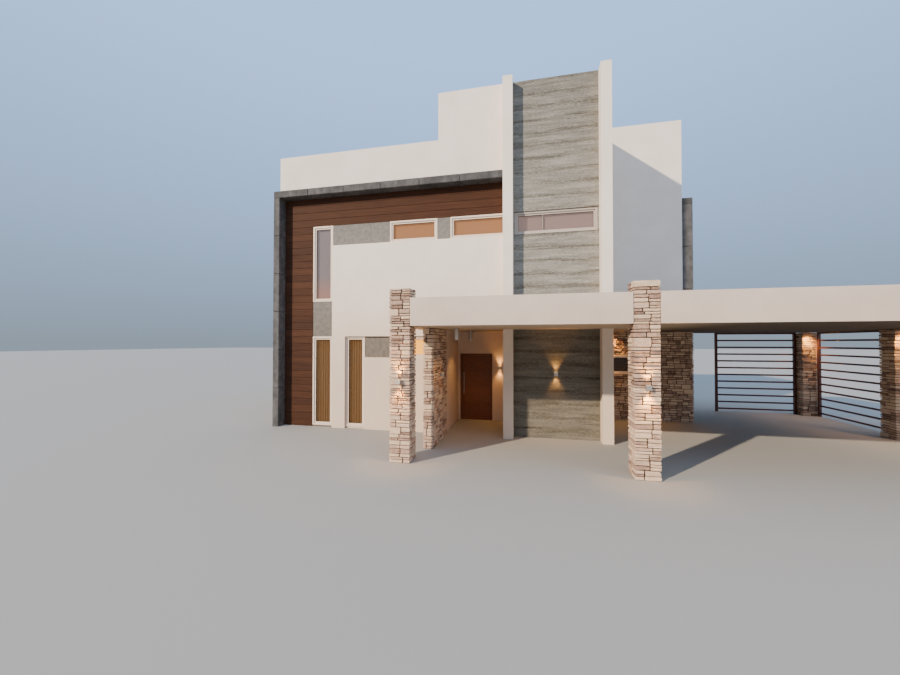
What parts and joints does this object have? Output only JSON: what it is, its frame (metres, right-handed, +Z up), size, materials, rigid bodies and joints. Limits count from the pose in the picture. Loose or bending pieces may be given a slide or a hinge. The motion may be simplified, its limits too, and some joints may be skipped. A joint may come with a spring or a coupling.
{
  "type": "modern detached house with carport",
  "caption": "White flat-roofed house with a concrete tower, timber and grey render front, recessed entrance door, and a canopy on stone piers over a carport.",
  "frame": {"origin": "middle of the bounding box's base, at ground level", "axes": "+X to the right along the front, +Y into the house, +Z up"},
  "size_m": [18.57, 12.47, 10.3],
  "materials": {
    "stucco": "off-white fine-textured render",
    "grey_render": "mid-grey fine-textured render",
    "dark_concrete": "dark mottled fair-faced concrete",
    "board_concrete": "board-marked concrete",
    "split_stone": "split-face stone in courses",
    "floor_concrete": "plain concrete",
    "wood_boards": "oiled red-brown boards",
    "window_white": "white powder coat",
    "window_glass": "clear glass",
    "door_wood": "dark red-brown stained wood",
    "screen_paint": "dark red-brown paint",
    "steel": "brushed",
    "lamp_metal": "satin"
  },
  "bodies": {
    "house": {"ground_floor_slab": "floor_concrete", "upper_floor_slab": "stucco", "roof_terrace_slab": "floor_concrete", "top_roof_slab": "floor_concrete", "front_wall": "stucco", "front_parapet": "stucco", "left_wall": "stucco", "left_parapet": "stucco", "back_wall": "stucco", "back_parapet": "stucco", "top_front_wall": "stucco", "top_left_wall": "stucco", "top_back_wall": "stucco", "right_front_wall": "stucco", "right_wall": "stucco", "left_fin": "stucco", "right_fin": "stucco", "tower_concrete_wall": "board_concrete", "recess_left_wall": "stucco", "recess_right_wall": "stucco", "door_side_walls": "stucco", "door_head_wall": "stucco", "stone_wall": "split_stone", "wood_cladding": "wood_boards", "grey_render": "grey_render", "white_panel": "stucco", "front_concrete_frame": "dark_concrete", "side_concrete_frame": "dark_concrete", "canopy_slab": "stucco", "canopy_fascia": "stucco", "left_pier": "split_stone", "middle_pier": "split_stone", "right_pier": "split_stone", "side_pier": "split_stone", "corner_pier": "split_stone", "stone_wing_wall": "split_stone", "back_screen": "screen_paint", "side_screens": "screen_paint", "window_frames": "window_white", "window_glass": "window_glass", "door_frame": "door_wood", "door_hinges": "steel", "wall_lights": "lamp_metal", "ceiling_lights": "lamp_metal"},
    "front_door": {"door_leaf": "door_wood", "door_pull": "steel", "leaf_hinges": "steel"}
  },
  "joints": [
    {"name": "front_door_swing", "type": "hinge", "parent": "house", "child": "front_door", "pos_m": [-2.4775, -1.044, 1.16], "axis": [0, 0, -1], "range_deg": [0, 90]}
  ]
}
